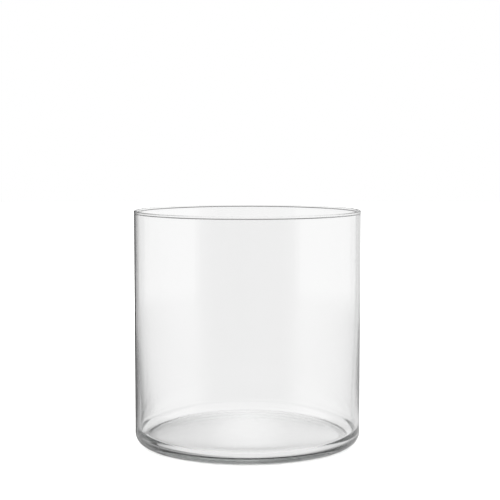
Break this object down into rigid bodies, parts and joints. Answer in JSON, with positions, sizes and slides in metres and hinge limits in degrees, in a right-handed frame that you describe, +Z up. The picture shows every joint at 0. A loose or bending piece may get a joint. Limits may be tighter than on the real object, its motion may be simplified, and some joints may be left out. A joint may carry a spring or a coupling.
{
  "type": "glass cylinder vase",
  "caption": "Clear glass cylinder vase, about as wide as it is tall, with a thin rounded rim, a wall that thickens downwards, a rounded heel and a heavy base on a flat foot ring.",
  "frame": {"origin": "centre of the foot, on the surface that the vase stands on", "axes": "+Z up along the axis of the vase, from the foot to the mouth; the vase is round, so +X and +Y are any two directions square to it"},
  "size_m": [0.1948, 0.1948, 0.2],
  "materials": {
    "clear_glass": "clear, fire-polished, gloss"
  },
  "bodies": {
    "root": {"vase_body": "clear_glass"}
  },
  "joints": []
}
